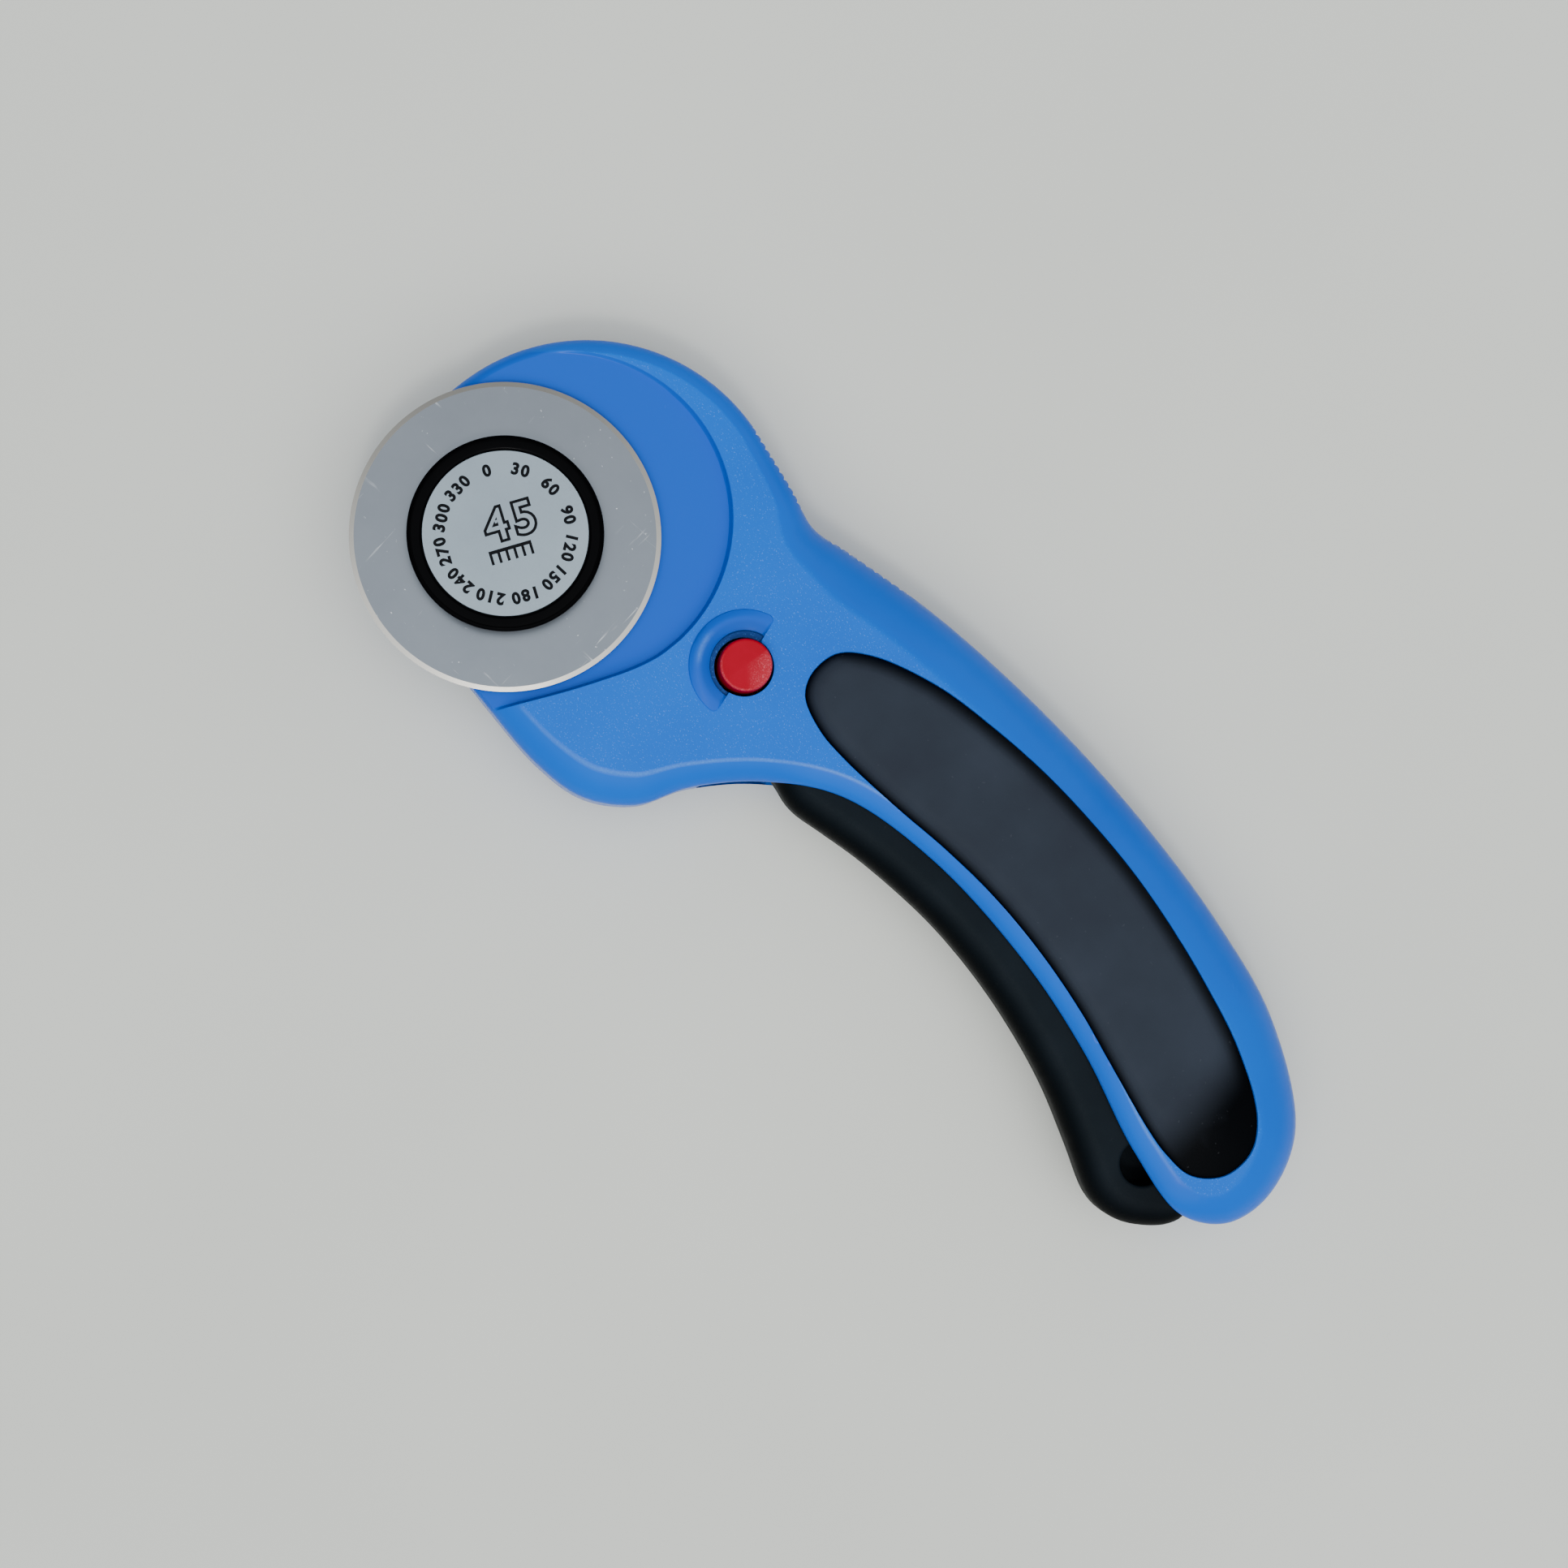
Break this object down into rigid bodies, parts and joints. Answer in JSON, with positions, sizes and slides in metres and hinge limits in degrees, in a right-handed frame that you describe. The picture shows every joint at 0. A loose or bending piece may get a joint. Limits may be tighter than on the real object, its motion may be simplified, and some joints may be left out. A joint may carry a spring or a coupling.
{
  "type": "rotary cutter",
  "caption": "Hand-held rotary cutter with a round blade on a squeeze-trigger lever, a cross-bolt lock button and soft grip pads on a curved handle.",
  "frame": {"origin": "middle of the outer box, on the plane that the tool lies on with its back down, trigger squeezed and blade out", "axes": "+X from the blade towards the butt of the handle, +Y towards the spine, away from the trigger, +Z out of the blade's face"},
  "size_m": [0.1712, 0.0599, 0.0223],
  "materials": {
    "blue_shell": "fine satin moulding",
    "soft_grip": "matte soft-touch",
    "black_plastic": "fine texture",
    "gloss_black": "polished",
    "red_plastic": "satin gloss",
    "blade_steel": "ground tool steel, bright bevel",
    "plain_steel": "plain",
    "satin_disc": "satin, printed",
    "brass_insert": "turned"
  },
  "bodies": {
    "handle": {"front_shell": "blue_shell", "back_shell": "blue_shell", "front_grip_pad": "soft_grip", "back_grip_pad": "soft_grip", "lever_pivot_pin": "plain_steel", "return_spring": "plain_steel", "lock_detent_spring": "plain_steel", "housing_screw_head": "plain_steel", "housing_screw_neck": "plain_steel", "housing_screw_butt": "plain_steel"},
    "lever": {"trigger_lever": "black_plastic", "blade_pin": "plain_steel", "pin_head": "gloss_black", "pin_face_disc": "satin_disc", "spring_washer": "plain_steel"},
    "blade": {"blade": "blade_steel"},
    "lock": {"lock_button": "red_plastic"},
    "nut": {"blade_nut": "black_plastic", "nut_insert": "brass_insert"}
  },
  "joints": [
    {"name": "trigger_squeeze", "type": "hinge", "parent": "handle", "child": "lever", "pos_m": [-0.0301, -0.0199, 0.011], "axis": [0, 0, -1], "range_deg": [0, 12], "deforming": ["return_spring"]},
    {"name": "blade_spin", "type": "hinge", "parent": "lever", "child": "blade", "pos_m": [-0.0631, -0.0074, 0.018], "axis": [0, 0, 1], "continuous": true},
    {"name": "lock_slide", "type": "slide", "parent": "handle", "child": "lock", "axis": [0, 0, -1], "range_m": [0, 0.003], "deforming": ["lock_detent_spring"]},
    {"name": "nut_turn", "type": "hinge", "parent": "lever", "child": "nut", "pos_m": [-0.0631, -0.0074, 0.003], "axis": [0, 0, -1], "range_deg": [0, 360]}
  ]
}
